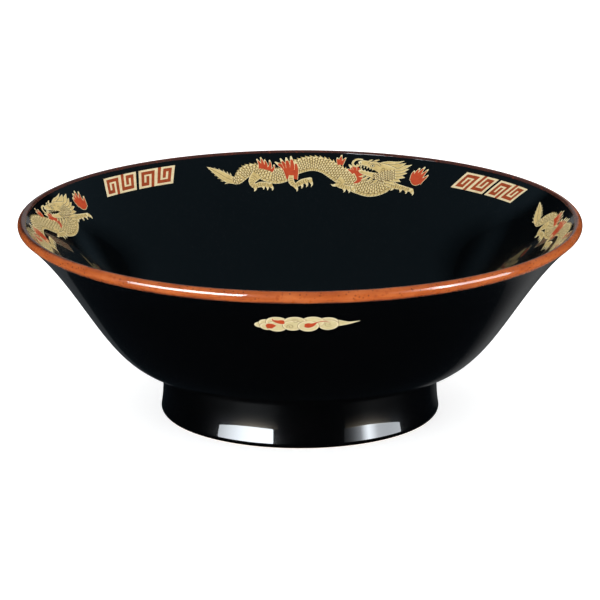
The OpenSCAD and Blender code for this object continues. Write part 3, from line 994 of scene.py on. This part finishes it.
def tail(drawing):
    """Locks that leave the tail on both sides, drawn from its tip to its root."""
    spine = Stroke(TAIL)
    locks = 6
    for k in range(locks - 1, -1, -1):
        s = spine.length * (0.05 + 0.13 * k)
        for hand in (-1, 1):
            reach = 1.0 - 0.15 * k
            root, middle = spine.place(s, 0.2 * hand), spine.place(s + 1.4, hand, -0.6 * hand)
            tip = spine.place(min(s + 2.9, spine.length - 0.1), hand, 0.9 * hand * reach)
            edged(drawing, Stroke([(*root, 0.8), (*middle, 0.55), (*tip, 0.05)]), rim=0.2)
    edged(drawing, spine, rim=0.25)
    vein = [spine.place(s, 0) for s in np.linspace(1.5, spine.length * 0.9, 7)]
    drawing.paint("lines", *thin_line(vein, INK), over=PLAIN_GOLD)


def body(drawing):
    """The trunk with a saw-toothed back, rows of scales and a belly of narrow plates."""
    trunk = Stroke(BODY)
    s = 1.2
    while s < trunk.length - 14:
        spine = 0.42 * trunk.width(s)
        tip = trunk.place(s - 0.3 * spine, -1.0, -0.62 * spine)
        drawing.paint("gold", [trunk.place(s, -0.9), trunk.place(s + spine, -0.9), tip])
        s += spine
    drawing.paint("pale", *trunk.strip())
    drawing.paint("gold", *trunk.strip(grow=-0.25))
    scales(drawing, trunk, 0.8, trunk.length - 1.0)
    edge = [trunk.place(s, 0.64) for s in np.linspace(0.5, trunk.length - 1, 60)]
    drawing.paint("lines", *thin_line(edge, INK), over=PLAIN_GOLD)
    for s in np.arange(1.0, trunk.length - 1, 1.15):
        plate = [trunk.place(s, 0.64), trunk.place(s - 0.4, 0.97)]
        drawing.paint("lines", *thin_line(plate, INK), over=PLAIN_GOLD)


def fire(drawing, tongues):
    """Red tongues of fire with pale tips and a thin pale outline, which parts them near the tips."""
    strokes = [Stroke(tongue) for tongue in tongues]
    for stroke in strokes:
        drawing.paint("pale", *stroke.strip(grow=0.17, step=0.6))
    for stroke in strokes:
        drawing.paint("pale", *stroke.strip(grow=0.12, start=stroke.length * 0.5, step=0.6))
        drawing.paint("red", *stroke.strip(end=stroke.length * 0.84, step=0.6))


def leg(drawing, points, claws):
    """A scaly leg and paw, with curved claws that hang from it."""
    limb = Stroke(points)
    edged(drawing, limb)
    end = np.array(points[-1][:2])
    drawing.paint("pale", disc(end, points[-1][2], 14))
    for share, heading, length in claws:
        s = share * limb.length
        root = limb.place(s, 0)
        heading = math.radians(heading)
        knuckle = root + 0.8 * ray(heading)
        bend = root + (0.8 + 0.55 * length) * ray(heading)
        tip = bend + 0.5 * length * ray(heading + 0.7)
        toe = Stroke([(*root, 0.9), (*knuckle, 0.75), (*bend, 0.42), (*tip, 0.05)])
        drawing.paint("lines", *toe.strip(grow=0.14, step=0.5), over=ANY_GOLD)
        drawing.paint("gold", *toe.strip(end=toe.length * 0.5, step=0.5))
        drawing.paint("pale", *toe.strip(start=toe.length * 0.42, step=0.5))
    for s in np.arange(1.6, limb.length - 0.6, 0.95):
        fold = [limb.place(s, -0.6), limb.place(s - 0.35, 0.0), limb.place(s, 0.6)]
        drawing.paint("lines", *thin_line(fold, INK), over=("gold",))


def mouth(drawing):
    """An open mouth, through which the glaze shows, with its teeth."""
    drawing.paint("void", *Stroke(MOUTH).strip(step=0.5))
    for teeth, way in ((UPPER_TEETH, 1), (LOWER_TEETH, -1)):
        for x, y, length in teeth:
            drawing.paint("pale", [(x - TOOTH, y), (x + TOOTH, y), (x - 0.1, y + way * length)])


def head(drawing):
    """The head, from the mane and the beard behind it to the eye and the cheek in front."""
    for lock in MANE[::-1] + BEARD:
        edged(drawing, Stroke(lock), rim=0.2)
    edged(drawing, Stroke(JAW), rim=0.25)
    for horn in HORNS:
        edged(drawing, Stroke(horn), rim=0.2)
    edged(drawing, Stroke(SKULL))
    mouth(drawing)
    edged(drawing, Stroke(WHISKER), rim=0.18)
    drawing.paint("lines", disc(EYE, 0.95, 18, 0.8))
    drawing.paint("pale", disc(EYE, 0.72, 18, 0.75))
    drawing.paint("void", disc(EYE, 0.36, 12))
    edged(drawing, Stroke(BROW), rim=0.2)
    drawing.paint("void", disc(NOSTRIL, 0.25, 10))
    cheek = Stroke(CHEEK)
    scales(drawing, cheek, 0.6, cheek.length, -0.9, 0.9, CHEEK_SCALE)
    drawing.paint("lines", *thin_line(curl(*EAR), INK), over=PLAIN_GOLD)


def dragon():
    """The dragon that reaches for its burning pearl, drawn from the back to the front."""
    drawing = Drawing()
    tail(drawing)
    body(drawing)
    for tongues in (BACK_FIRE, HIP_FIRE, SMALL_FIRE):
        fire(drawing, tongues)
    for points, claws in LEGS:
        leg(drawing, points, claws)
    fire(drawing, NECK_FIRE)
    head(drawing)
    drawing.paint("pale", disc(PEARL, PEARL_R + 0.17, 30))
    fire(drawing, PEARL_FIRE)
    drawing.paint("red", disc(PEARL, PEARL_R, 30))
    return drawing


dragon_looks = {
    "gold": (GOLD, "gold", "gold"),
    "pale": (PALE, "gold", None),
    "lines": (LINES, "gold", None),
    "red": (RED, "print_red", "red"),
}
print_all("dragon", dragon(), dragon_wall, [DRAGON_TURN + QUARTER * i for i in range(4)], dragon_looks)

# ---- Studio

AIM_Z = 0.042


def soft_box(name, azimuth, elevation, away, size, soft, gloss, colour, fade=None, rise=None):
    """A soft box that faces the bowl. Azimuth runs from the front towards +X.

    Soft is how brightly it lights the colours, and gloss is how brightly it shows in the glaze.
    Fade and rise give the gloss across and up the box: places on it and shares of the full gloss.
    """
    azimuth, elevation = math.radians(azimuth), math.radians(elevation)
    level = away * math.cos(elevation)
    up = away * math.sin(elevation) + AIM_Z
    place = Vector((level * math.sin(azimuth), -level * math.cos(azimuth), up))
    nearer = 0.985
    for part, radiance, share in (("soft", soft, 1.0), ("gloss", gloss, nearer)):
        if not radiance:
            continue
        data = bpy.data.lights.new(f"{name}_{part}", "AREA")
        data.shape = "RECTANGLE"
        data.size, data.size_y = size
        data.energy = radiance * math.pi * size[0] * size[1]
        data.color = colour if part == "gloss" else (1, 1, 1)
        if fade and part == "gloss":
            faded(data, fade, rise)
        light = bpy.data.objects.new(f"{name}_{part}", data)
        light.location = place * share
        light.rotation_euler = (Vector((0, 0, AIM_Z)) - place).to_track_quat("-Z", "Y").to_euler()
        light.visible_camera = False
        light.visible_diffuse = part == "soft"
        light.visible_glossy = part == "gloss"
        bpy.context.scene.collection.objects.link(light)


def faded(data, across, up=None):
    """Makes a light's face brighter in one place than in another, across it and up it."""
    data.use_nodes = True
    tree = data.node_tree
    where = tree.nodes.new("ShaderNodeNewGeometry")
    split = tree.nodes.new("ShaderNodeSeparateXYZ")
    tree.links.new(where.outputs["Parametric"], split.inputs[0])
    for axis, stops, socket in ((0, across, "Color"), (1, up, "Strength")):
        if not stops:
            continue
        ramp = tree.nodes.new("ShaderNodeValToRGB")
        ramp.color_ramp.interpolation = "B_SPLINE"
        elements = ramp.color_ramp.elements
        while len(elements) < len(stops):
            elements.new(0.5)
        for element, (place, share) in zip(elements, stops):
            element.position = place
            element.color = (share, share, share, 1)
        tree.links.new(split.outputs[axis], ramp.inputs[0])
        tree.links.new(ramp.outputs[0], tree.nodes["Emission"].inputs[socket])


def world():
    """White for the eye, softer for the colours, and nearly black for the gloss."""
    sky = bpy.data.worlds.new("studio")
    bpy.context.scene.world = sky
    sky.use_nodes = True
    tree = sky.node_tree
    tree.nodes.clear()
    path = tree.nodes.new("ShaderNodeLightPath")
    shader = None
    backgrounds = (
        (None, (1, 1, 1), 0.5),
        ("Is Glossy Ray", (0.5, 0.75, 1.0), 0.01),
        ("Is Camera Ray", (1, 1, 1), 1.0),
    )
    for ray_kind, colour, strength in backgrounds:
        light = tree.nodes.new("ShaderNodeBackground")
        light.inputs["Color"].default_value = (*colour, 1)
        light.inputs["Strength"].default_value = strength
        if shader is None:
            shader = light
            continue
        mix = tree.nodes.new("ShaderNodeMixShader")
        tree.links.new(path.outputs[ray_kind], mix.inputs[0])
        tree.links.new(shader.outputs[0], mix.inputs[1])
        tree.links.new(light.outputs[0], mix.inputs[2])
        shader = mix
    out = tree.nodes.new("ShaderNodeOutputWorld")
    tree.links.new(shader.outputs[0], out.inputs[0])


def floor():
    """A plain floor that the glaze doesn't reflect."""
    reach, steps = 6.0, 12
    axis = np.linspace(-reach, reach, steps + 1)
    verts = [(x, y, 0.0) for y in axis for x in axis]
    row = steps + 1
    faces = [
        (j * row + i, j * row + i + 1, (j + 1) * row + i + 1, (j + 1) * row + i)
        for j in range(steps) for i in range(steps)
    ]
    mesh = bpy.data.meshes.new("studio_floor")
    mesh.from_pydata(verts, [], faces)
    mesh.materials.append(floor_material())
    plane = bpy.data.objects.new("studio_floor", mesh)
    plane.visible_glossy = False
    plane.visible_shadow = False
    bpy.context.scene.collection.objects.link(plane)


def camera():
    """A long lens in front of the bowl, looking down a little."""
    away, pitch = 1.5, math.radians(15.86)
    data = bpy.data.cameras.new("camera")
    data.lens = 249.8
    data.sensor_width = 36
    data.clip_end = 50
    eye = bpy.data.objects.new("camera", data)
    eye.location = (0, -away, AIM_Z + away * math.tan(pitch))
    eye.rotation_euler = (math.pi / 2 - pitch, 0, 0)
    bpy.context.scene.collection.objects.link(eye)
    bpy.context.scene.camera = eye


NEUTRAL = (1.0, 1.0, 1.0)
WHITE = (0.88, 0.94, 1.0)
BLUE = (0.5, 0.8, 1.0)
WARM = (1.0, 0.86, 0.62)
NEAR = 1.2
FAR = 1.6
# How a light's gloss changes across it or up it: places and shares
LEFT_FADE = ((0, 0.35), (0.35, 0.8), (0.6, 1), (1, 1))
RIGHT_FADE = ((0, 0), (0.28, 0.08), (0.38, 1), (0.44, 1), (0.56, 0.3), (1, 0.4))
EDGES = ((0, 0), (0.1, 0.9), (0.9, 0.9), (1, 0))
SOFT = ((0, 0), (0.35, 0.85), (0.65, 0.85), (1, 0))
RISING = ((0, 0), (0.4, 0.12), (0.75, 0.5), (1, 1))


def lights():
    """Two bright boxes in front, a broad one overhead, and dim ones that only the glaze shows."""
    soft_box("left_box", -45, 6.5, NEAR, (1.06, 0.80), 0.95, 27, WHITE, LEFT_FADE)
    soft_box("right_box", 62, 6.5, NEAR, (1.20, 0.80), 0.95, 23, WHITE, RIGHT_FADE)
    soft_box("top_box", 90, 88, FAR, (5.6, 5.3), 0.65, 0.18, BLUE, EDGES, EDGES)
    soft_box("back_box", 180, 12, FAR, (0.7, 0.5), 1.0, 0.25, NEUTRAL)
    soft_box("left_screen", -125, 24, FAR, (0.46, 0.56), 0, 0.1, BLUE, SOFT, SOFT)
    soft_box("right_screen", 141, 15, FAR, (0.4, 0.66), 0, 0.14, BLUE, SOFT, SOFT)
    soft_box("left_glow", -38, -14.6, NEAR, (0.85, 0.115), 0, 4.5, WARM, SOFT, RISING)
    soft_box("right_glow", 58, -14.6, NEAR, (0.9, 0.115), 0, 3.0, WARM, SOFT, RISING)
    soft_box("table_left", -168, -24, FAR, (0.7, 0.3), 0, 0.05, WHITE)
    soft_box("table_right", 160, -27, FAR, (1.0, 0.66), 0, 0.17, NEUTRAL, SOFT, SOFT)


world()
floor()
camera()
lights()
bpy.context.scene.view_settings.view_transform = "Standard"
